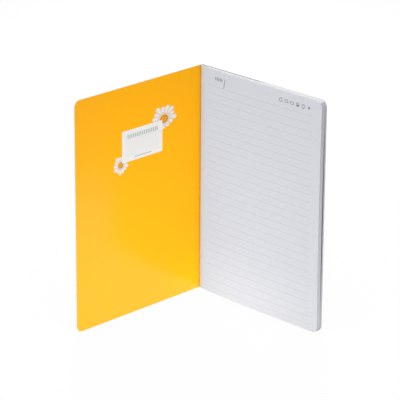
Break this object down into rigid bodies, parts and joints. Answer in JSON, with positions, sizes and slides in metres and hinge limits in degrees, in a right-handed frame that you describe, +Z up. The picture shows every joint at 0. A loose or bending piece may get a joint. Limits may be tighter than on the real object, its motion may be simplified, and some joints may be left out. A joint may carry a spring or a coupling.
{
  "type": "lined notebook",
  "caption": "Soft-cover A5 notebook standing open at its first page: ruled sheets folded and stapled into a creased card cover whose front and back panels swing.",
  "frame": {"origin": "foot of the centre fold, on the surface that the notebook stands on", "axes": "+X from the fold to the fore-edge of the pages, -Y towards the reader of the first page, +Z up along the fold"},
  "size_m": [0.1485, 0.1541, 0.21],
  "materials": {
    "paper": "matt",
    "cover_card": "satin",
    "staple_wire": "satin"
  },
  "bodies": {
    "block": {"page_block": "paper", "spine_strip": "cover_card", "lower_staple": "staple_wire", "upper_staple": "staple_wire"},
    "front_cover": {"front_cover": "cover_card"},
    "back_cover": {"back_cover": "cover_card"}
  },
  "joints": [
    {"name": "front_crease", "type": "hinge", "parent": "block", "child": "front_cover", "pos_m": [-0.00297, -0.00427, 0], "axis": [0, 0, -1], "range_deg": [-88.3, 91]},
    {"name": "back_crease", "type": "hinge", "parent": "block", "child": "back_cover", "pos_m": [-0.00297, 0.00187, 0], "axis": [0, 0, 1], "range_deg": [0, 180]}
  ]
}
